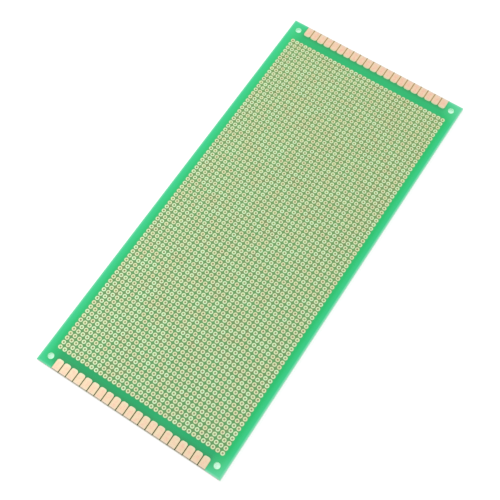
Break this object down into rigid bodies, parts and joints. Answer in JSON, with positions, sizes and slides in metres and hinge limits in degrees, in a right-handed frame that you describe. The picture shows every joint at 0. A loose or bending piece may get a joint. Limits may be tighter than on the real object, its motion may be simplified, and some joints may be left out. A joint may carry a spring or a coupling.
{
  "type": "perfboard",
  "caption": "Rectangular prototyping board with a full grid of round solder pads and lead holes, edge contact fingers at both short ends and a mounting hole in each corner.",
  "frame": {"origin": "centre of the board's underside", "axes": "+X along the short side, +Y along the long side, +Z out of the copper side"},
  "size_m": [0.1, 0.22, 0.0016],
  "materials": {
    "laminate": "bare glass-fibre laminate, pale, slightly translucent, fine weave",
    "mask": "green solder resist, semi-gloss",
    "pad": "plated copper foil, pale, soft sheen",
    "finger": "bare copper edge contacts, bright, satin"
  },
  "bodies": {
    "root": {"laminate_panel": "laminate", "solder_mask": "mask", "pads_band_1": "pad", "pads_band_2": "pad", "pads_band_3": "pad", "pads_band_4": "pad", "pads_band_5": "pad", "pads_band_6": "pad", "pads_band_7": "pad", "pads_band_8": "pad", "pads_band_9": "pad", "pads_band_10": "pad", "near_fingers": "finger", "far_fingers": "finger"}
  },
  "joints": []
}
